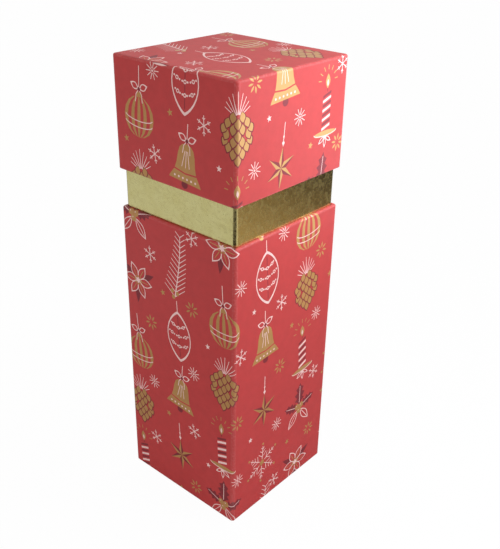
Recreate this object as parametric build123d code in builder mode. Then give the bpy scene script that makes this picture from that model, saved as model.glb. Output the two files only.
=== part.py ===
"""Square wine gift box: a greyboard base and lift-off lid wrapped in printed paper, on a gold foil neck.

The frame is in millimetres, +Z up, with its origin at the middle of the underside. The front faces -Y.
"""

import os

from build123d import *

os.makedirs("parts", exist_ok=True)

# Sheet stock, by thickness
board = 2.0  # greyboard of the base and the lid
neck_board = 1.5  # lighter greyboard of the neck
print_paper = 0.2  # printed wrap with its glue
foil_paper = 0.2  # gold foil paper with its glue
lining_paper = 0.2  # plain lining sheets
cover_paper = 0.2  # sheet that closes the underside
tape = 0.1  # gummed paper tape over the board joints

# Outside sizes
base_width = 105.5  # over the printed paper
base_height = 222.0
gold_band = 27.0  # neck left showing between the base and the lid
lid_height = 76.0
upright_radius = 2.2  # the four upright outer edges
rim_radius = 1.4  # the outer edges round the base's rim and the lid's crown
foot_radius = 0.9  # the outer edges round the base's foot and the lid's mouth
neck_radius = 2.4  # the neck's upright edges
neck_rim_radius = 0.3  # the neck's edge under the lid

# Clearances
lid_play = 0.3  # between the neck and the lid's lining, each side
board_play = 0.1  # round a board dropped into its tube
lining_play = 0.3  # round a lining sheet dropped into a tube
seam_gap = 0.15  # where the two ends of a folded board strip meet

# How far the papers and tapes reach
rim_turn_in = 18.0  # printed paper folded over a rim and down the inside
foot_turn_under = 15.0  # printed paper folded under the base
foil_tuck = 30.0  # foil that runs down inside the base, below its rim
foil_turn_in = 16.0  # foil folded over the neck's rim
lining_drop = 6.0  # strip of turned-in paper left bare at each mouth
tape_leg = 10.0  # tape on each side of a joint
tape_margin = 1.5  # free length at each end of a tape
cover_inset = 2.0  # margin between the cover sheet and the base's edge

# Widths, from the base inwards and then out to the lid
base_board_width = base_width - 2 * print_paper
base_bore = base_board_width - 2 * board
neck_width = base_bore - 2 * print_paper
neck_board_width = neck_width - 2 * foil_paper
neck_bore = neck_board_width - 2 * neck_board
neck_lining_width = neck_bore - 2 * foil_paper
bottle_bore = neck_lining_width - 2 * lining_paper
lid_lining_bore = neck_width + 2 * lid_play
lid_lining_width = lid_lining_bore + 2 * lining_paper
lid_bore = lid_lining_width + 2 * print_paper
lid_board_width = lid_bore + 2 * board
lid_width = lid_board_width + 2 * print_paper

# Levels, from the table up
wrap_foot = cover_paper
board_foot = wrap_foot + print_paper
floor_level = board_foot + board
base_board_top = base_height - print_paper
lid_mouth = base_height + gold_band
lid_board_mouth = lid_mouth + print_paper
lid_crown = lid_mouth + lid_height
lid_board_crown = lid_crown - print_paper
ceiling_level = lid_board_crown - board
neck_top = ceiling_level - lining_paper
neck_board_top = neck_top - foil_paper

# A board's edge is rounded by what its paper leaves of the outer radius, down to a sharp fold
sharp_fold = 0.1
board_upright_radius = max(upright_radius - print_paper, sharp_fold)
board_rim_radius = max(rim_radius - print_paper, sharp_fold)
board_foot_radius = max(foot_radius - print_paper, sharp_fold)
neck_board_radius = max(neck_radius - foil_paper, sharp_fold)
neck_board_rim_radius = max(neck_rim_radius - foil_paper, sharp_fold)

# Far enough past a wall to cut right through it
past = 5.0


def block(width, low, high, upright, top=0.0, foot=0.0):
    """A square block from low to high, with rounded upright edges and, where asked, rounded top or foot edges."""
    with BuildPart() as made:
        with BuildSketch(Plane.XY.offset(low)):
            RectangleRounded(width, width, upright)
        extrude(amount=high - low)
        if top:
            fillet(made.faces().sort_by(Axis.Z)[-1].edges(), top)
        if foot:
            fillet(made.faces().sort_by(Axis.Z)[0].edges(), foot)
    return made.part


def sharp_block(width, low, high):
    """A square block with sharp edges, such as the inside of a tube."""
    with BuildPart() as made:
        with BuildSketch(Plane.XY.offset(low)):
            Rectangle(width, width)
        extrude(amount=high - low)
    return made.part


def slab(x_span, y_span, z_span, turn=0.0):
    """A plain box from its low and high value along each axis, turned about the upright axis."""
    with BuildPart() as made:
        with BuildSketch(Plane.XY.offset(z_span[0]).rotated((0, 0, turn))):
            with Locations((sum(x_span) / 2, sum(y_span) / 2)):
                Rectangle(x_span[1] - x_span[0], y_span[1] - y_span[0])
        extrude(amount=z_span[1] - z_span[0])
    return made.part


def finish(built, name):
    """Labels a finished piece and writes its STEP file."""
    built.part.label = name
    export_step(built.part, f"parts/{name}.step")


# Solid outsides that the papers, tapes and boards are cut from
base_outside = block(base_width, wrap_foot, base_height, upright_radius, rim_radius, foot_radius)
base_core = block(
    base_board_width, board_foot, base_board_top, board_upright_radius, board_rim_radius, board_foot_radius
)
lid_outside = block(lid_width, lid_mouth, lid_crown, upright_radius, rim_radius, foot_radius)
lid_core = block(
    lid_board_width,
    lid_board_mouth,
    lid_board_crown,
    board_upright_radius,
    board_rim_radius,
    board_foot_radius,
)
neck_outside = block(neck_width, base_height - foil_tuck, neck_top, neck_radius, neck_rim_radius)
neck_core = block(neck_board_width, floor_level, neck_board_top, neck_board_radius, neck_board_rim_radius)


# Greyboard tubes: each is one grooved strip folded to four walls, with a seam at the back left upright edge
def folded_tube(core, width, wall, low, high):
    """A core bored out to its walls, with a slit where the last wall butts against the inside of the first."""
    inside = width / 2 - wall
    with BuildPart() as made:
        add(core)
        add(sharp_block(2 * inside, low - past, high + past), mode=Mode.SUBTRACT)
        add(
            slab((-inside, -inside + seam_gap), (inside - past, inside + wall + past), (low - past, high + past)),
            mode=Mode.SUBTRACT,
        )
    return made


base_wall_board = folded_tube(base_core, base_board_width, board, board_foot, base_board_top)
finish(base_wall_board, "base_wall_board")

neck_wall_board = folded_tube(neck_core, neck_board_width, neck_board, floor_level, neck_board_top)
finish(neck_wall_board, "neck_wall_board")

lid_wall_board = folded_tube(lid_core, lid_board_width, board, lid_board_mouth, lid_board_crown)
finish(lid_wall_board, "lid_wall_board")

# Boards let into the foot of the base and the top of the lid
with BuildPart() as base_bottom_board:
    with BuildSketch(Plane.XY.offset(board_foot)):
        Rectangle(base_bore - 2 * board_play, base_bore - 2 * board_play)
    extrude(amount=board)
finish(base_bottom_board, "base_bottom_board")

with BuildPart() as lid_top_board:
    with BuildSketch(Plane.XY.offset(ceiling_level)):
        Rectangle(lid_bore - 2 * board_play, lid_bore - 2 * board_play)
    extrude(amount=board)
finish(lid_top_board, "lid_top_board")


# Gummed tapes: each is folded round an outer edge of the boards, over the joint there
def taped_block(width, low, high, upright, rim, foot):
    """A board's outside, grown by the tape's thickness."""
    return block(width + 2 * tape, low - tape, high + tape, upright + tape, rim + tape, foot + tape)


def seam_tape(taped, core, width, low, high):
    """Tape down the back left upright edge, over the seam of a folded tube."""
    outer = width / 2 + past
    inner = width / 2 - tape_leg
    with BuildPart() as made:
        add(taped)
        add(core, mode=Mode.SUBTRACT)
        add(slab((-outer, -inner), (inner, outer), (low, high)), mode=Mode.INTERSECT)
    return made


def edge_tape(taped, core, width, z_span, turn):
    """Tape along one side of a tube's closed end, turned from the front by the given angle."""
    outer = width / 2 + past
    inner = width / 2 - tape_leg
    half_length = inner - tape_margin
    with BuildPart() as made:
        add(taped)
        add(core, mode=Mode.SUBTRACT)
        add(slab((-half_length, half_length), (-outer, -inner), z_span, turn), mode=Mode.INTERSECT)
    return made


base_taped = taped_block(
    base_board_width, board_foot, base_board_top, board_upright_radius, board_rim_radius, board_foot_radius
)
lid_taped = taped_block(
    lid_board_width,
    lid_board_mouth,
    lid_board_crown,
    board_upright_radius,
    board_rim_radius,
    board_foot_radius,
)
neck_taped = taped_block(
    neck_board_width,
    floor_level,
    neck_board_top,
    neck_board_radius,
    neck_board_rim_radius,
    neck_board_rim_radius,
)

base_tapes = [
    seam_tape(
        base_taped,
        base_core,
        base_board_width,
        board_foot + tape_leg + tape_margin,
        base_board_top - board_rim_radius - tape_margin,
    )
]
finish(base_tapes[0], "base_seam_tape")

lid_tapes = [
    seam_tape(
        lid_taped,
        lid_core,
        lid_board_width,
        lid_board_mouth + board_foot_radius + tape_margin,
        lid_board_crown - tape_leg - tape_margin,
    )
]
finish(lid_tapes[0], "lid_seam_tape")

neck_seam_tape = seam_tape(
    neck_taped,
    neck_core,
    neck_board_width,
    floor_level + neck_board_rim_radius + tape_margin,
    neck_board_top - neck_board_rim_radius - tape_margin,
)
finish(neck_seam_tape, "neck_seam_tape")

for side, turn in {"front": 0, "right": 90, "back": 180, "left": 270}.items():
    bottom_tape = edge_tape(
        base_taped, base_core, base_board_width, (board_foot - past, board_foot + tape_leg), turn
    )
    base_tapes.append(bottom_tape)
    finish(bottom_tape, f"base_bottom_tape_{side}")
    top_tape = edge_tape(
        lid_taped, lid_core, lid_board_width, (lid_board_crown - tape_leg, lid_board_crown + past), turn
    )
    lid_tapes.append(top_tape)
    finish(top_tape, f"lid_top_tape_{side}")

# Printed paper of the base: up the outside, over the rim, down the inside and under the foot
base_window = base_width - 2 * foot_turn_under
with BuildPart() as base_wrap:
    add(base_outside)
    add(base_core, mode=Mode.SUBTRACT)
    add(sharp_block(base_bore, base_height - rim_turn_in, base_board_top))
    add(sharp_block(neck_width, base_height - rim_turn_in - past, base_height + past), mode=Mode.SUBTRACT)
    add(sharp_block(base_window, wrap_foot - past, board_foot + past), mode=Mode.SUBTRACT)
    for strip in base_tapes:
        add(strip.part, mode=Mode.SUBTRACT)
finish(base_wrap, "base_wrap")

with BuildPart() as base_cover_sheet:
    with BuildSketch():
        Rectangle(base_width - 2 * cover_inset, base_width - 2 * cover_inset)
    extrude(amount=cover_paper)
finish(base_cover_sheet, "base_cover_sheet")

# Gold foil paper of the neck: up the outside, over the rim and down the inside
with BuildPart() as neck_foil_wrap:
    add(neck_outside)
    add(neck_core, mode=Mode.SUBTRACT)
    add(sharp_block(neck_bore, neck_top - foil_turn_in, neck_board_top))
    add(
        sharp_block(neck_lining_width, neck_top - foil_turn_in - past, neck_top + past),
        mode=Mode.SUBTRACT,
    )
    add(neck_seam_tape.part, mode=Mode.SUBTRACT)
finish(neck_foil_wrap, "neck_foil_wrap")

# Plain lining of the bottle space: a folded sheet on the walls and a square on the floor
with BuildPart() as neck_wall_lining:
    with BuildSketch(Plane.XY.offset(floor_level)):
        Rectangle(neck_lining_width, neck_lining_width)
        Rectangle(bottle_bore, bottle_bore, mode=Mode.SUBTRACT)
    extrude(amount=neck_top - lining_drop - floor_level)
finish(neck_wall_lining, "neck_wall_lining")

with BuildPart() as floor_lining:
    with BuildSketch(Plane.XY.offset(floor_level)):
        Rectangle(bottle_bore - 2 * lining_play, bottle_bore - 2 * lining_play)
    extrude(amount=lining_paper)
finish(floor_lining, "floor_lining")

# Printed paper of the lid: over the top, down the outside, round the mouth and up the inside
with BuildPart() as lid_wrap:
    add(lid_outside)
    add(lid_core, mode=Mode.SUBTRACT)
    add(sharp_block(lid_bore, lid_board_mouth, lid_mouth + rim_turn_in))
    add(sharp_block(lid_lining_width, lid_mouth - past, lid_mouth + rim_turn_in + past), mode=Mode.SUBTRACT)
    for strip in lid_tapes:
        add(strip.part, mode=Mode.SUBTRACT)
finish(lid_wrap, "lid_wrap")

# Plain lining of the lid: a folded sheet on the walls and a square under the top
with BuildPart() as lid_wall_lining:
    with BuildSketch(Plane.XY.offset(lid_mouth + lining_drop)):
        Rectangle(lid_lining_width, lid_lining_width)
        Rectangle(lid_lining_bore, lid_lining_bore, mode=Mode.SUBTRACT)
    extrude(amount=neck_top - lid_mouth - lining_drop)
finish(lid_wall_lining, "lid_wall_lining")

with BuildPart() as lid_top_lining:
    with BuildSketch(Plane.XY.offset(neck_top)):
        Rectangle(lid_bore - 2 * lining_play, lid_bore - 2 * lining_play)
    extrude(amount=lining_paper)
finish(lid_top_lining, "lid_top_lining")
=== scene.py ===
"""Dresses the wine gift box: printed and foil papers folded round its boards, in a plain studio."""

import math
import random

import bpy
import numpy as np
from mathutils import Matrix, Vector
from mathutils.geometry import delaunay_2d_cdt


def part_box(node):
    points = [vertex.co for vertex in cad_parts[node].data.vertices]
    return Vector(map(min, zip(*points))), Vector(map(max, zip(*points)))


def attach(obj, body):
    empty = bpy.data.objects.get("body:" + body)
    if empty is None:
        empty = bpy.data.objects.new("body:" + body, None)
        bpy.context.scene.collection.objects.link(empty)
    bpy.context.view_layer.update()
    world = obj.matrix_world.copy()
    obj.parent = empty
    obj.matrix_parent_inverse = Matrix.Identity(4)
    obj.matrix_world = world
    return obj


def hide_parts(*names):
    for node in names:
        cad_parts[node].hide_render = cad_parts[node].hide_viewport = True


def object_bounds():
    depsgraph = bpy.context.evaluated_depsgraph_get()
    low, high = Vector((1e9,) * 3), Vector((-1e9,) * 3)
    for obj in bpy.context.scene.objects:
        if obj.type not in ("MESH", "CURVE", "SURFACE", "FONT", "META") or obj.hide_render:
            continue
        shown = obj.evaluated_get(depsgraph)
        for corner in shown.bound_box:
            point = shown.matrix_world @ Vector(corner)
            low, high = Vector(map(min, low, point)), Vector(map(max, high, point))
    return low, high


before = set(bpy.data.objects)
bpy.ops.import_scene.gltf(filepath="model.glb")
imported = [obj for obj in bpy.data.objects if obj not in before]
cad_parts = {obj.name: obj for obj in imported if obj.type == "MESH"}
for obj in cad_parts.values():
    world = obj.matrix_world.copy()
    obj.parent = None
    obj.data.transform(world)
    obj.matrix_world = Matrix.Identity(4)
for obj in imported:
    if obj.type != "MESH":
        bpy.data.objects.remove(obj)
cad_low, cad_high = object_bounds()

MM = 0.001
QUARTER = math.pi / 2

# How the papers are cut and folded, in millimetres, where the frame doesn't give it
upright_radius = 2.2  # upright edges of the base and lid
neck_radius = 2.4  # upright edges of the neck
rim_radius = 1.4  # edges round the base's rim and the lid's crown
foot_radius = 0.9  # edges round the base's foot and the lid's mouth
fold_radius = 0.3  # fold over the inner edge of a board
paper = 0.07  # one sheet
glue_step = 0.075  # a sheet with its glue, where one lies on another
foot_turn_under = 15.0
rim_turn_in = 18.0
foil_turn_in = 16.0
crown_flap = 12.0  # wall paper turned over the lid's top, under the top panel
crown_margin = 2.0  # the top panel stops this far inside the edges
cut_end = 4.0  # the paper's last end on the back, this far from the left edge
overlap = 6.0  # paper under that end
ramp = 1.5  # over which the layer under the end drops away
slit = 0.25  # gap along a mitre
worn_band = 0.5  # a fold's wear reaches this far onto the flats
flap_ease = 5.0  # below the crown, over which three walls' paper sinks to go under the fourth's
blunt_tip = 0.5  # a tab between two mitres is cut off where it is this narrow
front_side, right_side = 2, 3  # of a paper's five, numbered from 0 at its first end on the back
lid_print_shift = 12.0  # the lid's sheet is cut this much further on in the print's repeat
nick_left = -16.0  # where a lifted spot on the lid's front upper edge starts, from the middle
nick_length = 13.0
nick_width = 1.3
nick_up = 0.9  # its middle lies this far round the edge
nick_shade = 0.8  # painted shadow along its upper side, where the paper stands off
nick_shade_past = 2.0  # that line goes this far past it at both ends
nick_shadow_widths = 0.2, 0.4  # width of a painted shadow line from the left corner to it, where the paper's edge stands off, at the corner and at the spot

# How finely the papers are worked out, in counts and millimetres
arc_facets = 6  # flats to a quarter turn
tab_trials = 200  # places at which a tab's width is tried, to find its end
tiny = 1e-6  # lengths closer than this are one
weld = 1e-5  # corners of the flat paper closer than this are one
on_fold = 1e-4  # points of the flat paper closer than this to a fold lie on it

# The map of a paper: its two faces one above the other, and a row of its cut edges over them
faces_share = 0.97  # of the map's side that the two faces take up
faces_gap = 10.0  # millimetres between them
edges_low, edges_high = 0.98, 0.995
edges_share = 0.9  # of its place in the row that a cut edge fills

# Columns of the tables of stations, along a paper's cross-section and round the box
LENGTH, BEND = 0, 4
REACH, LEVEL, TILT = 1, 2, 3
X, Y, WAY = 1, 2, 3


def spans(node):
    """A CAD node's lowest and highest corners, in millimetres."""
    low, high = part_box(node)
    return low / MM, high / MM


base_low, base_high = spans("base_wrap")
lid_low, lid_high = spans("lid_wrap")
foil_low, foil_high = spans("neck_foil_wrap")
foil_lining_low, foil_lining_high = spans("neck_wall_lining")
lid_lining_low, lid_lining_high = spans("lid_wall_lining")


# Colours and nodes

COLOUR_A, COLOUR_B, COLOUR_OUT = 6, 7, 2  # a mix node's colour sockets, whose names others share


def srgb(code):
    """An sRGB hex colour as linear red, green, blue and alpha."""
    shares = [int(code[i:i + 2], 16) / 255 for i in (1, 3, 5)]
    return [c / 12.92 if c <= 0.04045 else ((c + 0.055) / 1.055) ** 2.4 for c in shares] + [1.0]


def add(tree, kind, inputs=None, **settings):
    """Adds a node with its settings. Its inputs are values, or the sockets that feed them."""
    made = tree.nodes.new(kind)
    for name, value in settings.items():
        setattr(made, name, value)
    for name, value in (inputs or {}).items():
        if isinstance(value, bpy.types.NodeSocket):
            tree.links.new(value, made.inputs[name])
        else:
            made.inputs[name].default_value = value
    return made


def new_material(name):
    """An empty material, its node tree and the object coordinates in it."""
    material = bpy.data.materials.new(name)
    material.use_nodes = True
    tree = material.node_tree
    tree.nodes.clear()
    return material, tree, add(tree, "ShaderNodeTexCoord").outputs["Object"]


def per_mm(size):
    """A texture scale that makes its cells this many millimetres wide."""
    return 1 / (size * MM)


# Printed wrapping paper: clay-coated art paper, offset printed and matt varnished. The varnish gives a
# broad soft sheen. The ink is faintly mottled, and the folds are rubbed a little paler.
def printed_paper(name, ink, roughness, metallic=0.0):
    material, tree, place = new_material(name)
    mottle = add(tree, "ShaderNodeTexNoise", {"Vector": place, "Scale": per_mm(6.0), "Detail": 5.0})
    tint = add(
        tree, "ShaderNodeMapRange",
        {"Value": mottle.outputs["Fac"], "From Min": 0.3, "From Max": 0.7, "To Min": 0.95, "To Max": 1.05},
    )
    printed = add(
        tree, "ShaderNodeVectorMath", {"Vector": srgb(ink)[:3], "Scale": tint.outputs[0]}, operation="SCALE"
    )
    # Rubbed spots along the folds, about 1.5 mm apart
    folds = add(tree, "ShaderNodeAttribute", attribute_name="fold_wear")
    rubs = add(tree, "ShaderNodeTexNoise", {"Vector": place, "Scale": per_mm(1.5), "Detail": 6.0})
    bare = add(
        tree, "ShaderNodeMapRange",
        {"Value": rubs.outputs["Fac"], "From Min": 0.45, "From Max": 0.75, "To Min": 0.03, "To Max": 0.12},
    )
    rubbed = add(
        tree, "ShaderNodeMath", {0: folds.outputs["Fac"], 1: bare.outputs[0]}, operation="MULTIPLY"
    )
    colour = add(
        tree, "ShaderNodeMix",
        {"Factor": rubbed.outputs[0], COLOUR_A: printed.outputs[0], COLOUR_B: srgb("#E3B9B4")},
        data_type="RGBA",
    )
    # The paper's felt is a few hundredths of a millimetre and is drawn at 0.5 mm, so that it shows
    felt = add(tree, "ShaderNodeTexNoise", {"Vector": place, "Scale": per_mm(0.5), "Detail": 3.0})
    sheen = add(
        tree, "ShaderNodeMapRange",
        {"Value": felt.outputs["Fac"], "To Min": roughness - 0.08, "To Max": roughness + 0.08},
    )
    # The board under the paper is never quite flat
    board = add(tree, "ShaderNodeTexNoise", {"Vector": place, "Scale": per_mm(25.0), "Detail": 1.0})
    waves = add(
        tree, "ShaderNodeBump", {"Height": board.outputs["Fac"], "Strength": 0.3, "Distance": 0.4 * MM}
    )
    grain = add(
        tree, "ShaderNodeBump",
        {"Height": felt.outputs["Fac"], "Normal": waves.outputs[0], "Strength": 0.25,
         "Distance": 0.02 * MM},
    )
    surface = add(
        tree, "ShaderNodeBsdfPrincipled",
        {"Base Color": colour.outputs[COLOUR_OUT], "Roughness": sheen.outputs[0],
         "Normal": grain.outputs[0], "Metallic": metallic, "IOR": 1.4},
    )
    add(tree, "ShaderNodeOutputMaterial", {"Surface": surface.outputs[0]})
    return material


# Uncoated paper, as it leaves the paper machine: matt, with soft fibres that show as a faint mottle
def uncoated_paper(name, code, roughness=0.85):
    material, tree, place = new_material(name)
    fibres = add(
        tree, "ShaderNodeTexNoise",
        {"Vector": place, "Scale": per_mm(0.8), "Detail": 6.0, "Distortion": 1.5},
    )
    tint = add(
        tree, "ShaderNodeMapRange",
        {"Value": fibres.outputs["Fac"], "From Min": 0.3, "From Max": 0.7, "To Min": 0.94, "To Max": 1.04},
    )
    colour = add(
        tree, "ShaderNodeVectorMath",
        {"Vector": srgb(code)[:3], "Scale": tint.outputs[0]}, operation="SCALE",
    )
    felt = add(
        tree, "ShaderNodeBump", {"Height": fibres.outputs["Fac"], "Strength": 0.4, "Distance": 0.05 * MM}
    )
    surface = add(
        tree, "ShaderNodeBsdfPrincipled",
        {"Base Color": colour.outputs[0], "Roughness": roughness, "Normal": felt.outputs[0], "IOR": 1.5},
    )
    add(tree, "ShaderNodeOutputMaterial", {"Surface": surface.outputs[0]})
    return material


# Greyboard: pressed waste paper, matt grey-brown, with dark flecks 1 to 2 mm apart
def recycled_greyboard():
    material, tree, place = new_material("recycled_greyboard")
    pulp = add(tree, "ShaderNodeTexNoise", {"Vector": place, "Scale": per_mm(2.5), "Detail": 8.0})
    grey = add(
        tree, "ShaderNodeMix",
        {"Factor": pulp.outputs["Fac"], COLOUR_A: srgb("#7C746A"), COLOUR_B: srgb("#A39A8D")},
        data_type="RGBA",
    )
    flecks = add(tree, "ShaderNodeTexVoronoi", {"Vector": place, "Scale": per_mm(1.6)})
    dark = add(
        tree, "ShaderNodeMapRange",
        {"Value": flecks.outputs["Distance"], "From Min": 0.08, "From Max": 0.14,
         "To Min": 0.6, "To Max": 0.0},
    )
    colour = add(
        tree, "ShaderNodeMix",
        {"Factor": dark.outputs[0], COLOUR_A: grey.outputs[COLOUR_OUT], COLOUR_B: srgb("#4A443D")},
        data_type="RGBA",
    )
    rough = add(
        tree, "ShaderNodeBump", {"Height": pulp.outputs["Fac"], "Strength": 0.6, "Distance": 0.12 * MM}
    )
    surface = add(
        tree, "ShaderNodeBsdfPrincipled",
        {"Base Color": colour.outputs[COLOUR_OUT], "Roughness": 0.92, "Normal": rough.outputs[0],
         "IOR": 1.5},
    )
    add(tree, "ShaderNodeOutputMaterial", {"Surface": surface.outputs[0]})
    return material


# Gold foil paper: aluminium vapour on paper under a yellow lacquer, embossed with a leather grain. It
# mirrors the room dimly, in pale gold, broken up by soft creases about 3 mm apart and faint pebbles 1 mm
# across.
def embossed_gold_foil():
    material, tree, place = new_material("embossed_gold_foil_paper")
    pebbles = add(
        tree, "ShaderNodeTexVoronoi", {"Vector": place, "Scale": per_mm(1.0)}, feature="SMOOTH_F1"
    )
    creases = add(
        tree, "ShaderNodeTexNoise",
        {"Vector": place, "Scale": per_mm(3.2), "Detail": 1.0, "Distortion": 1.2},
    )
    swells = add(tree, "ShaderNodeTexNoise", {"Vector": place, "Scale": per_mm(9.0), "Detail": 3.0})
    lacquer = add(
        tree, "ShaderNodeMix",
        {"Factor": swells.outputs["Fac"], COLOUR_A: srgb("#CDBB78"), COLOUR_B: srgb("#DACB8E")},
        data_type="RGBA",
    )
    dull = add(
        tree, "ShaderNodeMapRange",
        {"Value": creases.outputs["Fac"], "From Min": 0.3, "From Max": 0.7, "To Min": 0.18, "To Max": 0.32},
    )
    waves = add(
        tree, "ShaderNodeBump", {"Height": swells.outputs["Fac"], "Strength": 0.4, "Distance": 0.3 * MM}
    )
    creased = add(
        tree, "ShaderNodeBump",
        {"Height": creases.outputs["Fac"], "Normal": waves.outputs[0], "Strength": 0.5,
         "Distance": 0.08 * MM},
    )
    grained = add(
        tree, "ShaderNodeBump",
        {"Height": pebbles.outputs["Distance"], "Normal": creased.outputs[0], "Strength": 0.04,
         "Distance": 0.05 * MM},
    )
    surface = add(
        tree, "ShaderNodeBsdfPrincipled",
        {"Base Color": lacquer.outputs[COLOUR_OUT], "Roughness": dull.outputs[0],
         "Normal": grained.outputs[0], "Metallic": 1.0},
    )
    add(tree, "ShaderNodeOutputMaterial", {"Surface": surface.outputs[0]})
    return material


inks = {
    "ground": printed_paper("red_printed_art_paper", "#B63130", 0.56),
    "gold": printed_paper("bronze_gold_ink", "#B5854C", 0.45, 0.3),
    "white": printed_paper("unprinted_art_paper", "#E6C0BA", 0.56),
    "dark": printed_paper("maroon_ink", "#7C1B24", 0.56),
}
paper_back = uncoated_paper("art_paper_reverse", "#EFEAE2")
gold_foil = embossed_gold_foil()


# Folding: a paper is drawn flat in millimetres, u round the box and s up it, then folded into place


def folded_line(corners, radii):
    """Stations along a paper's cross-section, as rows of length, reach, level, tilt and bend.

    The line turns left at each corner, with its printed side on the right. On the wall, length is level.
    """
    points = [np.array(corner, float) for corner in corners]
    runs = [(b - a) / np.linalg.norm(b - a) for a, b in zip(points, points[1:])]
    tilt = math.atan2(-runs[0][0], runs[0][1])
    rows = [(0.0, *points[0], tilt, 0.0)]
    for corner, radius, into, out in zip(points[1:], radii, runs, runs[1:]):
        start = corner - radius * into
        centre = start + radius * out
        length = rows[-1][LENGTH] + np.linalg.norm(start - rows[-1][REACH:TILT])
        for facet in range(arc_facets + 1):
            turn = QUARTER * facet / arc_facets
            side = into * math.sin(turn) - out * math.cos(turn)
            rows.append((length + radius * turn, *(centre + radius * side), tilt + turn, 1.0))
        tilt += QUARTER
    length = rows[-1][LENGTH] + np.linalg.norm(points[-1] - rows[-1][REACH:TILT])
    rows.append((length, *points[-1], tilt, 0.0))
    upward = next(k for k, run in enumerate(runs) if run[1] > 0)
    first = rows[upward * (arc_facets + 1)]
    table = np.array(rows)
    table[:, LENGTH] += first[LEVEL] - first[LENGTH]
    return table


def walk_round(half, radius):
    """Stations round the box, as rows of length, point inside the wall, way it faces and bend.

    The walk starts at the paper's cut end on the back and goes left, front, right and back again.
    """
    arc = radius * QUARTER
    first = cut_end - radius
    length = first
    rows = [(-overlap, first + overlap - half, half, QUARTER, 0.0)]
    for turn, (x, y) in enumerate([(-half, half), (-half, -half), (half, -half), (half, half)], start=1):
        for facet in range(arc_facets + 1):
            share = facet / arc_facets
            rows.append((length + arc * share, x, y, QUARTER * (turn + share), 1.0))
        length += arc + 2 * half
    rows.append((length - first, first - half, half, 5 * QUARTER, 0.0))
    return np.array(rows)


def with_rows(table, lengths):
    """The table with rows put in between, at these lengths and with no bend."""
    known = table[:, LENGTH]
    kept = [x for x in lengths if known[0] < x < known[-1] and np.abs(known - x).min() > tiny]
    between = [[np.interp(x, known, table[:, k]) for k in range(BEND)] + [0.0] for x in kept]
    return np.array(sorted([*table.tolist(), *between]))


def beside_bends(table):
    """Lengths on the flats where the wear of a bend beside them ends."""
    lengths = []
    for before, after in zip(table, table[1:]):
        if after[LENGTH] - before[LENGTH] > 2 * worn_band:
            lengths += [before[LENGTH] + worn_band] * bool(before[BEND])
            lengths += [after[LENGTH] - worn_band] * bool(after[BEND])
    return lengths


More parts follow.
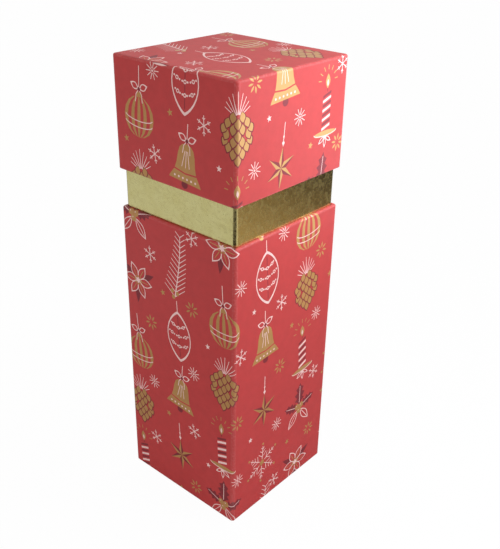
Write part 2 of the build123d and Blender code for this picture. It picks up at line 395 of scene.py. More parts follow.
class FoldedPaper:
    """A paper round a square box: where each point of the flat paper comes to lie."""

    def __init__(self, width, radius, corners, radii, panel_side=None):
        self.half = width / 2 - radius
        self.panel_side = panel_side
        line = folded_line(corners, radii)
        wall = [row[LENGTH] for row in line if abs(row[TILT]) < tiny]
        self.wall_high = wall[-1]
        self.low_fold = self.mitre_start(line[line[:, LENGTH] <= wall[0]][::-1])
        self.high_fold = self.mitre_start(line[line[:, LENGTH] >= wall[-1]])
        added = [self.low_fold, self.high_fold, self.wall_high - flap_ease]
        self.line = with_rows(line, added + beside_bends(line))
        walk = walk_round(self.half, radius)
        self.walk = with_rows(walk, [0.0, ramp, *beside_bends(walk)])
        arc = radius * QUARTER
        first = cut_end - radius
        starts = [first + arc + k * (2 * self.half + arc) for k in range(4)]
        self.sides = [(-overlap, first)] + [(a, a + 2 * self.half) for a in starts[:3]]
        self.sides.append((starts[3], self.walk[-1, LENGTH]))

    def mitre_start(self, rows):
        """The length at which the paper, going away from the wall, comes over the corners' centres."""
        for a, b in zip(rows, rows[1:]):
            if a[REACH] > self.half >= b[REACH]:
                return a[LENGTH] + (b[LENGTH] - a[LENGTH]) * (a[REACH] - self.half) / (a[REACH] - b[REACH])
        return rows[-1][LENGTH]

    def along(self, s, column):
        """A column of the cross-section, at lengths s."""
        return np.interp(s, self.line[:, LENGTH], self.line[:, column])

    def across(self, u, column):
        """A column of the walk round the box, at lengths u."""
        return np.interp(u, self.walk[:, LENGTH], self.walk[:, column])

    def inset(self, s):
        """How far a mitre has come in from the corner's centre."""
        return max(0.0, self.half - self.along(s, REACH))

    def drop(self, u, s):
        """How far the flaps under the top panel lie below it."""
        if self.panel_side is None:
            return 0.0
        before, panel, after = self.sides[self.panel_side - 1:self.panel_side + 2]
        share = np.interp(u, [before[1], panel[0], panel[1], after[0]], [1, 0, 0, 1])
        return glue_step * share * np.clip((s - self.wall_high + flap_ease) / flap_ease, 0, 1)

    def place(self, u, s, depth):
        """Points and normals, in millimetres, at a depth below the printed face."""
        reach, level, tilt = (self.along(s, column) for column in (REACH, LEVEL, TILT))
        x, y, way = (self.across(u, column) for column in (X, Y, WAY))
        out = reach - self.half
        points = np.stack([x + out * np.cos(way), y + out * np.sin(way), level - self.drop(u, s)], axis=1)
        normals = np.stack([np.cos(tilt) * np.cos(way), np.cos(tilt) * np.sin(way), np.sin(tilt)], axis=1)
        sunk = depth + glue_step * np.interp(u, [-overlap, 0, ramp], [1, 1, 0])
        return points - normals * sunk[:, None], normals

    def bends(self, u, s):
        """1 on a fold, 0 on a flat."""
        return np.maximum(self.along(s, BEND), self.across(u, BEND))

    def tab(self, side, fold, end):
        """The outline of one side's paper beyond its fold, from its left to its right."""
        a, b = self.sides[side]
        mitred = not (side == self.panel_side and fold == self.high_fold)
        left, right = mitred and side > 0, mitred and side < len(self.sides) - 1
        widths = [(s, b - a - (left + right) * self.inset(s)) for s in np.linspace(fold, end, tab_trials)]
        end = [s for s, width in widths if width > blunt_tip][-1]
        low, high = sorted((fold, end))
        between = [s for s in self.line[:, LENGTH] if low + tiny < s < high - tiny]
        lengths = sorted([low, *between, high], reverse=bool(end < fold))
        gaps = [0.0 if s == fold else self.inset(s) + slit for s in lengths]
        ends = [(a + gap * left, s) for s, gap in zip(lengths, gaps)]
        return ends + [(b - gap * right, s) for s, gap in zip(lengths, gaps)][::-1]

    def outline(self, low_end, high_ends):
        """The cut outline of the flat paper. Its top ends may differ from side to side."""
        order = range(len(self.sides))
        points = [p for side in order for p in self.tab(side, self.low_fold, low_end)]
        for side in reversed(order):
            points += self.tab(side, self.high_fold, high_ends[side])[::-1]
        return [p for i, p in enumerate(points) if math.dist(p, points[i - 1]) > tiny]

    def fold_lines(self):
        """Lines that keep each flat of the folded paper apart. The level ones go just past its ends."""
        left, right = self.walk[0, LENGTH] - 1, self.walk[-1, LENGTH] + 1
        level = [((left, s), (right, s)) for s in self.line[1:-1, LENGTH]]
        return level + [((u, self.low_fold), (u, self.high_fold)) for u in self.walk[1:-1, LENGTH]]

    def join_tips(self, flat):
        """For each point, the one that stands for it: those along a corner's tip come to lie together."""
        stands_for = np.arange(len(flat))
        for fold in (self.low_fold, self.high_fold):
            if self.along(fold, REACH) > self.half + on_fold:
                continue
            at_fold = np.abs(flat[:, 1] - fold) < on_fold
            for before, after in zip(self.sides, self.sides[1:]):
                in_corner = (flat[:, 0] > before[1] - on_fold) & (flat[:, 0] < after[0] + on_fold)
                tip = np.nonzero(at_fold & in_corner)[0]
                stands_for[tip] = tip[0]
        return stands_for


def counter_clockwise(shape):
    """The shape with its corners in counter-clockwise order."""
    area = sum(a[0] * b[1] - b[0] * a[1] for a, b in zip(shape, shape[1:] + shape[:1]))
    return shape if area > 0 else shape[::-1]


def triangulated(outline, lines, drawing):
    """The outline cut into triangles along the lines and the drawing, with each triangle's ink."""
    inside_shapes = 1  # the kind of result that holds the triangles inside any shape
    points, edges, faces = [], [], []
    for shape in [outline] + [shape for _, shape in drawing]:
        faces.append(list(range(len(points), len(points) + len(shape))))
        points += counter_clockwise(shape)
    for a, b in lines:
        edges.append((len(points), len(points) + 1))
        points += [a, b]
    corners, _, triangles, _, _, shape_ids = delaunay_2d_cdt(
        [Vector(p) for p in points], edges, faces, inside_shapes, weld, True
    )
    inside = [(triangle, max(ids)) for triangle, ids in zip(triangles, shape_ids) if 0 in ids]
    colours = [drawing[top - 1][0] if top else "ground" for _, top in inside]
    flat = np.array([tuple(corner) for corner in corners])
    return flat, np.array([triangle for triangle, _ in inside]), colours


def cut_paper(folded, outline, drawing):
    """A flat paper's points and triangles, with each triangle's ink, once its corners' tips are joined."""
    flat, triangles, colours = triangulated(outline, folded.fold_lines(), drawing)
    triangles = folded.join_tips(flat)[triangles]
    whole = [len(set(triangle)) == 3 for triangle in triangles.tolist()]
    used, triangles = np.unique(triangles[whole], return_inverse=True)
    return flat[used], triangles.reshape(-1, 3), [ink for ink, kept in zip(colours, whole) if kept]


def lay_out_map(mesh, flat, skins, edge_count):
    """Maps the front under the back, both flat, and the cut edges in a row above them."""
    width, height = flat.max(0) - flat.min(0)
    step = height + faces_gap
    scale = faces_share / max(width, 2 * step)
    places = (np.concatenate([flat, flat + [0.0, step]]) - flat.min(0)) * scale
    corners = [places[v] for face in skins for v in face]
    for k in range(edge_count):
        left, right = k / edge_count, (k + edges_share) / edge_count
        corners += [(right, edges_low), (left, edges_low), (left, edges_high), (right, edges_high)]
    mesh.uv_layers.new(name="OFBake").data.foreach_set("uv", np.array(corners).ravel())


def fold_paper(name, folded, outline, drawing, materials):
    """Cuts a paper to its outline and its print's shapes, and folds it into a thin closed sheet."""
    flat, triangles, colours = cut_paper(folded, outline, drawing)
    u, s = flat[:, 0], flat[:, 1]
    front, front_normals = folded.place(u, s, 0.0)
    back, back_normals = folded.place(u, s, paper)
    count = len(flat)
    edges = {(a, b) for t in triangles.tolist() for a, b in zip(t, t[1:] + t[:1])}
    rim = [(b, a, a + count, b + count) for a, b in sorted(edges) if (b, a) not in edges]
    skins = triangles.tolist() + (triangles[:, ::-1] + count).tolist()

    mesh = bpy.data.meshes.new(name)
    mesh.from_pydata((np.concatenate([front, back]) * MM).tolist(), [], skins + rim)
    slots = list(materials)
    for slot in slots:
        mesh.materials.append(materials[slot])
    indexes = [slots.index(ink) for ink in colours] + [slots.index("back")] * len(triangles)
    indexes += [slots.index("ground")] * len(rim)
    mesh.polygons.foreach_set("material_index", indexes)
    mesh.polygons.foreach_set("use_smooth", [True] * len(skins) + [False] * len(rim))
    wear = mesh.attributes.new("fold_wear", "FLOAT", "POINT")
    wear.data.foreach_set("value", np.tile(folded.bends(u, s), 2))
    lay_out_map(mesh, flat, skins, len(rim))

    facing = np.concatenate([front_normals, -back_normals])
    loops = [tuple(facing[v]) for face in skins for v in face]
    mesh.normals_split_custom_set(loops + [(0.0, 0.0, 0.0)] * (4 * len(rim)))
    piece = bpy.data.objects.new(name, mesh)
    bpy.context.scene.collection.objects.link(piece)
    return piece


# Shapes that the print is drawn from, in millimetres

fine = 0.6  # the print's thin pen
medium = 1.0  # its thicker one


def oval(x, y, across, up, sides=18):
    turns = [math.tau * i / sides for i in range(sides)]
    return [(x + across * math.cos(t), y + up * math.sin(t)) for t in turns]


def dot(x, y, radius, sides=8):
    return oval(x, y, radius, radius, sides)


def star(x, y, outer, inner, arms):
    turns = [QUARTER + math.pi * i / arms for i in range(2 * arms)]
    return [(x + r * math.cos(t), y + r * math.sin(t)) for r, t in zip([outer, inner] * arms, turns)]


def stroke(points, width, end_width=None):
    """A pen line through points, which may thin out towards its end."""
    end_width = width if end_width is None else end_width
    left, right = [], []
    for i, (x, y) in enumerate(points):
        before, after = points[max(i - 1, 0)], points[min(i + 1, len(points) - 1)]
        way = math.atan2(after[1] - before[1], after[0] - before[0]) + QUARTER
        half = (width + (end_width - width) * i / (len(points) - 1)) / 2
        left.append((x + half * math.cos(way), y + half * math.sin(way)))
        right.append((x - half * math.cos(way), y - half * math.sin(way)))
    return left + right[::-1]


def arc(x, y, across, up, start, end, width, steps=10):
    """A pen line along part of an oval."""
    turns = [start + (end - start) * i / steps for i in range(steps + 1)]
    return stroke([(x + across * math.cos(t), y + up * math.sin(t)) for t in turns], width)


def ray(x, y, turn, start, end, width, end_width=None):
    """A straight pen line that points away from a centre."""
    across, up = math.cos(turn), math.sin(turn)
    return stroke([(x + r * across, y + r * up) for r in (start, end)], width, end_width)


def moved(shape, x, y, turn=0.0):
    """A shape turned about its own centre and moved to a place."""
    across, up = math.cos(turn), math.sin(turn)
    return [(x + a * across - b * up, y + a * up + b * across) for a, b in shape]


def leaf(x, y, length, width, turn, steps=7):
    """A leaf or petal, pointed at both ends, that starts at a point."""
    shares = [i / steps for i in range(steps + 1)]
    upper = [(length * t, width / 2 * math.sin(math.pi * t)) for t in shares]
    return moved(upper + [(a, -b) for a, b in upper[-2:0:-1]], x, y, turn)


def mirrored(half):
    """A whole outline from its right half."""
    return half + [(-x, y) for x, y in half[::-1] if abs(x) > tiny]


def around(count, radius, turn=QUARTER):
    """Places spaced round a centre, each with the direction it lies in."""
    turns = [turn + math.tau * i / count for i in range(count)]
    return [(radius * math.cos(t), radius * math.sin(t), t) for t in turns]


# Parts that several motifs share, each as (ink, shape), the first lowest


def thread(low):
    """The thread that a motif hangs by."""
    return [("white", stroke([(0, low), (0, 25)], fine))]


def outlined_leaf(x, y, length, width, turn):
    """A leaf or petal drawn as its edge alone."""
    tip = 2.5 * fine
    start = x + tip * math.cos(turn), y + tip * math.sin(turn)
    inside = leaf(*start, length - 2 * tip, width - 2 * fine, turn)
    return [("white", leaf(x, y, length, width, turn)), ("ground", inside)]


def bow(x, y):
    """Two ribbon ends, two loops and a knot."""
    shapes = []
    for side in (-1, 1):
        ribbon = [(x, y), (x + side * 2.6, y - 3.4), (x + side * 3.2, y - 8.4)]
        shapes += [("white", stroke(ribbon, fine))]
    for turn in (0.4, math.pi - 0.4):
        shapes += outlined_leaf(x, y, 8.5, 4.6, turn)
    return shapes + [("dark", dot(x, y, 1.3))]


def beads(x, y, reach, sag, count):
    """A hanging string of beads, every third one a ring."""
    shapes = []
    for i in range(count):
        share = 2 * i / (count - 1) - 1
        place = (x + reach * share, y - sag * (1 - share * share))
        shapes += [("white", dot(*place, 1.4 if i % 3 == 1 else 0.7))]
        if i % 3 == 1:
            shapes += [("ground", dot(*place, 0.7))]
    return shapes


# The print's motifs, each drawn round its own centre


def round_bauble():
    """A ball in gold stripes from pole to pole."""
    radius, centre = 13.5, -7.5
    turns = [math.pi * (i / 8 - 0.5) for i in range(9)]
    shapes = []
    for inner, outer in ((-1.0, -0.78), (-0.54, -0.32), (-0.11, 0.11), (0.32, 0.54), (0.78, 1.0)):
        near, far = (
            [(share * radius * math.cos(t), centre + radius * math.sin(t)) for t in turns]
            for share in (inner, outer)
        )
        shapes += [("gold", far + near[-2:0:-1])]
    for level in (0.5, -3.5):
        shapes += [("white", arc(0, centre + level, 12.6, 3.2, math.pi * 1.05, math.pi * 1.95, fine))]
    return shapes + thread(11) + [("gold", stroke([(0, 5.4), (0, 8.6)], 4.6))] + bow(0, 10.4)


def pointed_bauble():
    """A drop drawn as its edge, with strings of beads across it."""
    centre = -3.0
    turns = [math.pi * i / 14 for i in range(15)]
    skin, hollow = (
        mirrored([(width * math.sin(t) ** 1.6, centre + height * math.cos(t)) for t in turns])
        for width, height in ((11.5, 20.0), (10.7, 18.0))
    )
    shapes = thread(16) + [("white", skin), ("ground", hollow), ("dark", stroke([(0, -19), (0, 13)], fine))]
    for level, reach in ((7.0, 6.4), (0.0, 9.0), (-8.0, 8.0)):
        shapes += beads(0, level, reach, 2.6, 9)
    return shapes


def hand_bell():
    """A gold bell with a beaded lip."""
    half = [
        (0, 12), (3.5, 11.4), (6.0, 9.0), (7.2, 5.0),
        (8.0, -1.0), (9.4, -6.0), (12.6, -10.5), (14.0, -13.0),
    ]
    shapes = [("dark", dot(0, -14.5, 2.8, 12)), ("gold", mirrored(half))]
    shapes += [("ground", stroke([(-9.6, -6.0), (0, -7.2), (9.6, -6.0)], medium))]
    shapes += [("white", dot(-9 + 3.6 * i, -10.6, 0.8)) for i in range(6)]
    shapes += [("white", ray(0, 13, -QUARTER + 0.2 * k, 5.5, 16.5, 0.5)) for k in (-1, 0, 1)]
    return shapes + thread(13) + bow(0, 14)


def fir_sprig():
    """A bent sprig with fine needles."""
    needles = 13
    shares = [i / (needles - 1) for i in range(needles)]
    stem = [(6.0 * math.sin(1.6 * t) - 4.0, 46.0 * t - 23.0) for t in shares]
    shapes = []
    for i, (x, y) in enumerate(stem):
        length = 12.5 - 0.6 * i
        shapes += [("white", ray(x, y, QUARTER + side * 0.9, 0, length, fine, 0.4)) for side in (-1, 1)]
    berries = [("gold", dot(x, y, 1.7)) for x, y in ((-6.6, -19.0), (-1.6, -20.0), (-5.4, -23.4))]
    return shapes + [("white", stroke(stem, medium, fine))] + berries


def holly_leaf(x, y, length, turn):
    """A leaf with three spines a side and a pale midrib."""
    width = length * 0.28
    edge = [
        (0, 0), (0.16, 0.5), (0.24, 1.0), (0.34, 0.55),
        (0.5, 1.05), (0.6, 0.5), (0.76, 0.8), (0.84, 0.3),
    ]
    half = [(length * a, width * b) for a, b in edge]
    shape = half + [(length, 0)] + [(a, -b) for a, b in half[:0:-1]]
    return [("dark", moved(shape, x, y, turn)), ("white", ray(x, y, turn, 2.0, length * 0.86, fine, 0.4))]


def holly():
    """Three dark leaves and two outlined ones round gold berries."""
    shapes = []
    for turn, length in ((0.3, 16), (math.pi - 0.3, 16), (QUARTER, 20)):
        shapes += holly_leaf(2.5 * math.cos(turn), 2.5 * math.sin(turn), length, turn)
    for turn in (-0.9, -2.24):
        shapes += outlined_leaf(2.5 * math.cos(turn), 2.5 * math.sin(turn), 17, 7, turn)
        shapes += [("white", ray(0, 0, turn, 5.0, 17.0, 0.5))]
    for x, y, _ in around(3, 2.8, -QUARTER):
        shapes += [("gold", dot(x, y, 2.6, 12)), ("white", dot(x - 0.7, y + 0.7, 0.5, 6))]
    return shapes


def candle():
    """A candle in slanting stripes, with a gold flame and dish."""
    shapes = [("gold", ray(0, 16.5, QUARTER + 0.5 * k, 7.0, 10.0, fine)) for k in range(-3, 4)]
    for k in range(8):
        low = -15.5 + 3.0 * k
        band = [(-4.2, low), (4.2, low + 2.6), (4.2, low + 4.4), (-4.2, low + 1.8)]
        shapes += [("dark" if k % 2 else "white", band)]
    shapes += [("dark", stroke([(0, 9.5), (0, 12)], fine)), ("gold", leaf(0, 11.5, 9.5, 4.6, QUARTER))]
    shapes += [("white", leaf(0, 12.9, 4.6, 1.6, QUARTER)), ("gold", oval(0, -17.6, 12.0, 2.0))]
    shapes += [("white", arc(0, -16.8, 12.0, 2.4, math.pi, math.tau, fine))]
    return shapes + [shape for k in (-1, 0, 1) for shape in outlined_leaf(0, -19.4, 8, 3, -QUARTER + k)]


def pine_cone():
    """Gold scales in rows, each edged dark, under a tuft of needles."""
    shapes = [("white", ray(0, 9, QUARTER + 0.27 * k, 2, 15 - abs(k), fine, 0.4)) for k in range(-4, 5)]
    rows = ((1, 0.0), (2, 3.0), (3, 6.0), (4, 8.4), (3, 7.4), (4, 9.0), (3, 6.4), (2, 3.0))
    for row, (count, reach) in enumerate(rows):
        level = -17.0 + 3.6 * row
        for k in range(count):
            x = reach * (2 * k / (count - 1) - 1) if count > 1 else 0.0
            lean = -QUARTER + 0.05 * x
            shapes += [("dark", leaf(x, level + 4.4, 8.0, 6.0, lean))]
            shapes += [("gold", leaf(x, level + 4.0, 6.6, 4.6, lean))]
    return shapes


def winter_rose():
    """Six petals drawn as their edges, over dark leaves."""
    shapes = [("dark", leaf(0, 0, 18.5, 5.0, t)) for _, _, t in around(3, 0, 0.52)]
    for _, _, turn in around(6, 0, 0.0):
        shapes += outlined_leaf(0, 0, 14.5, 7.0, turn) + [("gold", ray(0, 0, turn, 4.0, 10.5, fine, 0.4))]
    return shapes + [("gold", dot(x, y, 0.9)) for x, y, _ in around(8, 3.0)] + [("white", dot(0, 0, 1.2))]


def flake(radius, width, barbs):
    """A six-armed snow crystal with paired barbs on each arm."""
    shapes = []
    for _, _, turn in around(6, radius):
        shapes += [("white", ray(0, 0, turn, 0, radius, width))]
        for share in barbs:
            x, y = radius * share * math.cos(turn), radius * share * math.sin(turn)
            reach = radius * (1.15 - share) * 0.45
            shapes += [("white", ray(x, y, turn + lean, 0, reach, width * 0.85)) for lean in (-0.9, 0.9)]
    return shapes


def large_flake():
    """A large snow crystal with gold tips and a gold heart."""
    tips = [("gold", dot(x, y, 1.1)) for x, y, _ in around(6, 17.0)]
    return flake(15.0, fine, (0.35, 0.6, 0.82)) + tips + [("gold", star(0, 0, 3.6, 1.7, 6))]


def hanging_star():
    """A star folded from six darts, gold on one side and dark on the other."""
    centre = -4.0
    tips, hollows = around(6, 14.0), around(6, 4.6, QUARTER + math.pi / 6)
    shapes = thread(10)
    for i in range(6):
        for ink, hollow in (("gold", hollows[i]), ("dark", hollows[i - 1])):
            dart = [(0, 0), tips[i][:2], hollow[:2]]
            shapes += [(ink, moved(dart, 0, centre))]
    return shapes + [("white", dot(0, 12.0, 1.2)), ("white", dot(0, 16.0, 0.8))]


# Small marks between the motifs


def white_flake():
    return flake(6.2, fine, (0.6,))


def gold_burst():
    return [("gold", leaf(x, y, 4.6, 1.5, turn, 4)) for x, y, turn in around(8, 1.6)]


def white_burst():
    rays = [("white", ray(0, 0, turn, 1.4, 5.6, fine, 0.5)) for _, _, turn in around(10, 0)]
    return rays + [("white", dot(0, 0, 0.8))]


def gold_star():
    return [("gold", star(0, 0, 2.6, 1.1, 5))]


def white_star():
    return [("white", star(0, 0, 2.3, 1.0, 5))]


motifs = (
    round_bauble, fir_sprig, candle, hand_bell, winter_rose, large_flake, pine_cone, pointed_bauble, holly,
    hanging_star,
)
marks = (white_flake, gold_burst, white_burst)
stars = (white_star, gold_star)
mark_place = (14.5, 25.0)  # from the centre of the motif on its left
star_place = (-14.0, 28.0)  # from the centre of the one on its right
column_pitch = 41.8
row_pitch = 52.0
stray = 1.5  # how far a motif lies from its place in the repeat
motif_lean = 0.1  # how far a tall motif is turned
mark_lean = 0.3


def festive_print(left, right, low, high, seed):
    """Tall motifs in a half-drop repeat, with small marks in the gaps, over a stretch of flat paper."""
    draw = random.Random(seed)
    shapes = []
    for column in range(math.ceil((right - left) / column_pitch) + 1):
        for row in range(-1, math.ceil((high - low) / row_pitch) + 1):
            x = left + column_pitch * column
            y = low + row_pitch * (row + 0.5 * (column % 2))
            placed = [((0.0, 0.0), motifs[(3 * column + 4 * row + seed) % len(motifs)], motif_lean)]
            placed += [(mark_place, marks[(column + 2 * row) % len(marks)], mark_lean)]
            if (column + row) % 2:
                placed += [(star_place, stars[(column // 2 + row) % len(stars)], mark_lean)]
            for (across, up), motif, lean in placed:
                stray_x, stray_y = draw.uniform(-stray, stray), draw.uniform(-stray, stray)
                turn = draw.uniform(-lean, lean)
                centre = x + across + stray_x, y + up + stray_y
                shapes += [(ink, moved(shape, *centre, turn)) for ink, shape in motif()]
    return shapes


# The papers


def base_paper():
    """The base's print, which goes under at the foot, and over the rim and down beside the neck."""
    half = (base_high.x - base_low.x) / 2
    foot, rim = base_low.z, base_high.z
    neck = (foil_high.x - foil_low.x) / 2
    folded = FoldedPaper(
        2 * half, upright_radius,
        [(half - foot_turn_under, foot), (half, foot), (half, rim), (neck, rim), (neck, rim - rim_turn_in)],
        [foot_radius, rim_radius, fold_radius],
    )
    first, last = folded.line[0, LENGTH], folded.line[-1, LENGTH]
    outline = folded.outline(first, [last] * len(folded.sides))
    drawing = festive_print(folded.walk[0, LENGTH], folded.walk[-1, LENGTH], first, last, seed=3)
    return fold_paper("base_printed_paper", folded, outline, drawing, {**inks, "back": paper_back})


def lifted_spot(folded):
    """A white spot where the print has lifted on the front upper edge, with painted shadow lines above it
    where the paper stands off.
    """
    left, right = folded.sides[front_side]
    start = (left + right) / 2 + nick_left
    middle = folded.wall_high + nick_up
    above = middle + nick_width / 2
    # Painted shadows in maroon ink where the paper's edge stands off: a hairline from the left corner, and
    # a broader line above the spot
    hairline_shadow = stroke([(left, above), (start, above)], *nick_shadow_widths)
    shade = leaf(start - nick_shade_past, above, nick_length + 2 * nick_shade_past, 2 * nick_shade, 0.0)
    return [("dark", hairline_shadow), ("dark", shade), ("white", leaf(start, middle, nick_length, nick_width, 0.0))]


def lid_paper():
    """The lid's print. The right wall's paper goes on over the top, over the flaps of the other walls."""
    half = (lid_high.x - lid_low.x) / 2
    mouth, crown = lid_low.z, lid_high.z
    inner = (lid_lining_high.x - lid_lining_low.x) / 2
    folded = FoldedPaper(
        2 * half, upright_radius,
        [(inner, mouth + rim_turn_in), (inner, mouth), (half, mouth), (half, crown),
         (crown_margin - half, crown)],
        [fold_radius, foot_radius, rim_radius], panel_side=right_side,
    )
    first, last = folded.line[0, LENGTH], folded.line[-1, LENGTH]
    high_ends = [folded.wall_high + crown_flap] * len(folded.sides)
    high_ends[right_side] = last
    outline = folded.outline(first, high_ends)
    drawing = festive_print(
        folded.walk[0, LENGTH] + lid_print_shift, folded.walk[-1, LENGTH],
        first - lid_print_shift, last, seed=7,
    )
    drawing += lifted_spot(folded)
    return fold_paper("lid_printed_paper", folded, outline, drawing, {**inks, "back": paper_back})


def neck_paper():
    """The neck's foil, which turns in over the rim."""
    half = (foil_high.x - foil_low.x) / 2
    inner = (foil_lining_high.x - foil_lining_low.x) / 2
    tuck, rim = foil_low.z, foil_high.z
    folded = FoldedPaper(
        2 * half, neck_radius,
        [(half, tuck), (half, rim), (inner, rim), (inner, rim - foil_turn_in)],
        [fold_radius, fold_radius],
    )
    first, last = folded.line[0, LENGTH], folded.line[-1, LENGTH]
    outline = folded.outline(first, [last] * len(folded.sides))
    return fold_paper("neck_gold_foil", folded, outline, [], {"ground": gold_foil, "back": paper_back})


printed_base = base_paper()
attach(printed_base, "base")
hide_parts("base_wrap")

printed_lid = lid_paper()
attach(printed_lid, "lid")
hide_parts("lid_wrap")

foil_neck = neck_paper()
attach(foil_neck, "base")
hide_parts("neck_foil_wrap")


# Boards, tapes and linings keep their CAD shapes

finishes = {
    "board": recycled_greyboard(),
    "tape": uncoated_paper("gummed_kraft_tape", "#B8935F", 0.7),
    "lining": uncoated_paper("white_lining_paper", "#ECE8E0"),
    "sheet": uncoated_paper("white_cover_paper", "#E4DFD6"),
}

for name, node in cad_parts.items():
    for word, finish in finishes.items():
        if word in name.split("_"):
            node.data.materials.clear()
            node.data.materials.append(finish)


# The studio: a white floor and world, two lamps on the right, and cards that only gloss sees

lamp_power = 0.71
lamp_colour = "#E6F5FF"
gloss_power = 0.5
sky_fill = 0.8
sky_gloss_left, sky_gloss_right = 0.45, 1.55  # as gloss sees it, from the left front to the right back
sky_gloss_way = 0.7, 0.7, 0.0  # towards the right back
floor_gloss = 0.4  # as gloss sees it
floor_white = 0.97  # how far the floor goes over into the white behind it
floor_reach = 12.0
card_lift = 0.002


def ray_share(tree, *names):
    """1 for the rays named, 0 for the rest."""
    rays = add(tree, "ShaderNodeLightPath").outputs
    share = rays[names[0]]
    for name in names[1:]:
        share = add(tree, "ShaderNodeMath", {0: share, 1: rays[name]}, operation="MAXIMUM").outputs[0]
    return share


def white_world():
    """White to the camera, and to gloss darker on the left front than on the right back."""
    world = bpy.data.worlds.new("white_studio")
    bpy.context.scene.world = world
    world.use_nodes = True
    tree = world.node_tree
    tree.nodes.clear()
    way = add(tree, "ShaderNodeTexCoord").outputs["Generated"]
    rightward = add(tree, "ShaderNodeVectorMath", {0: way, 1: sky_gloss_way}, operation="DOT_PRODUCT")
    gloss = add(
        tree, "ShaderNodeMapRange",
        {"Value": rightward.outputs["Value"], "From Min": -1.0, "To Min": sky_gloss_left,
         "To Max": sky_gloss_right},
    )
    glossy = ray_share(tree, "Is Glossy Ray")
    fill = add(tree, "ShaderNodeMix", {"Factor": glossy, "A": sky_fill, "B": gloss.outputs[0]})
    seen = ray_share(tree, "Is Camera Ray", "Is Transmission Ray")
    strength = add(tree, "ShaderNodeMix", {"Factor": seen, "A": fill.outputs[0], "B": 1.0})
    light = add(tree, "ShaderNodeBackground", {"Color": srgb("#FFFFFF"), "Strength": strength.outputs[0]})
    add(tree, "ShaderNodeOutputWorld", {"Surface": light.outputs[0]})


def flat_stage(name, x, y, z, width, depth, material):
    """A level rectangle that belongs to the studio."""
    mesh = bpy.data.meshes.new(name)
    right, back = width / 2, depth / 2
    corners = [(-right, -back, 0), (right, -back, 0), (right, back, 0), (-right, back, 0)]
    mesh.from_pydata(corners, [], [(0, 1, 2, 3)])
    mesh.materials.append(material)
    made = bpy.data.objects.new(name, mesh)
    made.location = (x, y, z)
    bpy.context.scene.collection.objects.link(made)
    return made


def studio_floor():
    """A pale floor that keeps a soft shadow and goes over into the white behind it."""
    material, tree, _ = new_material("white_studio_paper")
    seen = ray_share(tree, "Is Camera Ray", "Is Transmission Ray", "Is Glossy Ray")
    share = add(tree, "ShaderNodeMath", {0: seen, 1: floor_white}, operation="MULTIPLY")
    matt = add(tree, "ShaderNodeBsdfDiffuse", {"Color": srgb("#F0F0F0")})
    glossy = ray_share(tree, "Is Glossy Ray")
    level = add(tree, "ShaderNodeMix", {"Factor": glossy, "A": 1.0, "B": floor_gloss})
    white = add(tree, "ShaderNodeEmission", {"Color": srgb("#FFFFFF"), "Strength": level.outputs[0]})
    surface = add(
        tree, "ShaderNodeMixShader", {0: share.outputs[0], 1: matt.outputs[0], 2: white.outputs[0]}
    )
    add(tree, "ShaderNodeOutputMaterial", {"Surface": surface.outputs[0]})
    flat_stage("studio_floor", 0, 0, cad_low.z, 2 * floor_reach, 2 * floor_reach, material)


def gloss_card(name, x_span, y_span, near, far=None):
    """A card on the floor that only the object's gloss sees. It may change colour over its nearer half."""
    material, tree, place = new_material(name)
    depth = y_span[1] - y_span[0]
    along = add(tree, "ShaderNodeSeparateXYZ", {"Vector": place})
    share = add(
        tree, "ShaderNodeMapRange", {"Value": along.outputs["Y"], "From Min": -depth / 2, "From Max": 0.0}
    )
    colour = add(
        tree, "ShaderNodeMix",
        {"Factor": share.outputs[0], COLOUR_A: srgb(near), COLOUR_B: srgb(far or near)}, data_type="RGBA",
    )
    glow = add(tree, "ShaderNodeEmission", {"Color": colour.outputs[COLOUR_OUT], "Strength": 1.0})
    add(tree, "ShaderNodeOutputMaterial", {"Surface": glow.outputs[0]})
    x, y = sum(x_span) / 2, sum(y_span) / 2
    card = flat_stage(name, x, y, cad_low.z + card_lift, x_span[1] - x_span[0], depth, material)
    card.visible_camera = False
    card.visible_diffuse = False
    card.visible_shadow = False
    card.visible_transmission = False


def area_lamp(name, place, aim, size, power):
    """A square lamp that the camera doesn't see, aimed at a point."""
    data = bpy.data.lights.new(name, "AREA")
    data.size = size
    data.energy = power
    data.color = srgb(lamp_colour)[:3]
    lamp = bpy.data.objects.new(name, data)
    lamp.location = place
    lamp.rotation_euler = (Vector(aim) - Vector(place)).to_track_quat("-Z", "Y").to_euler()
    lamp.visible_camera = False
    bpy.context.scene.collection.objects.link(lamp)
    return lamp


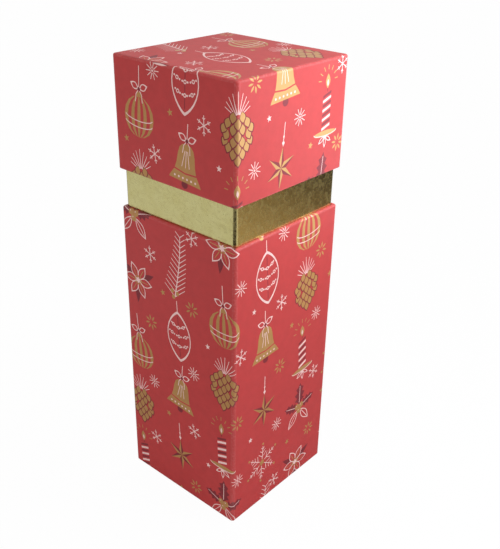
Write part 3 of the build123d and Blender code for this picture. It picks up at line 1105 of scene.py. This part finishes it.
def printed_papers_lamp():
    """A lamp that only the gloss of the two printed papers sees, mostly on the lid's right wall."""
    lamp = area_lamp("gloss_lamp", (0.175, 0.15, 0.25), aim=(0.053, 0.0, 0.25), size=0.2, power=gloss_power)
    lamp.visible_diffuse = False
    papers = bpy.data.collections.new("papers_under_gloss_lamp")
    for piece in (printed_base, printed_lid):
        papers.objects.link(piece)
    lamp.light_linking.receiver_collection = papers


white_world()
studio_floor()
gloss_card("dark_card_right", (0.2, 0.85), (0.24, 0.95), near="#D2B898", far="#20212E")
gloss_card("dark_card_front", (-0.09, 0.6), (-0.64, -0.22), near="#1C150E")
gloss_card("dark_card_side", (0.27, 0.6), (-0.22, -0.08), near="#1C150E")
gloss_card("pale_strip_right", (0.3, 0.65), (-0.05, 0.23), near="#FFFFFF")
gloss_card("pale_card_left", (-0.8, -0.19), (-0.8, -0.19), near="#DDE6ED")
area_lamp("near_lamp", (0.21, 0.07, 0.367), aim=(0.1, 0.02, 0.2), size=0.2, power=lamp_power)
printed_papers_lamp()


# The camera, at the photograph's angle

photo_width, photo_height = 500, 549
azimuth = math.radians(40.8)
elevation = math.radians(27.14)
distance = 0.5652
aim_level = 0.1678
aim_right = 0.0146
roll = math.radians(1.176)
focal_pixels = 779.6
sensor = 36.0


def photo_camera():
    """A camera placed by its angles and by its distance from the point that it aims at."""
    data = bpy.data.cameras.new("photo_camera")
    data.sensor_width = sensor
    data.lens = sensor * focal_pixels / max(photo_width, photo_height)
    camera = bpy.data.objects.new("photo_camera", data)
    aim = Vector((aim_right * math.cos(azimuth), aim_right * math.sin(azimuth), aim_level))
    back = Vector((
        math.sin(azimuth) * math.cos(elevation),
        -math.cos(azimuth) * math.cos(elevation),
        math.sin(elevation),
    ))
    across = Vector((0, 0, 1)).cross(back).normalized()
    facing = Matrix((across, back.cross(across), back)).transposed().to_4x4()
    camera.matrix_world = Matrix.Translation(aim + distance * back) @ facing @ Matrix.Rotation(roll, 4, "Z")
    bpy.context.scene.collection.objects.link(camera)
    bpy.context.scene.camera = camera


photo_camera()
bpy.context.scene.view_settings.view_transform = "Standard"
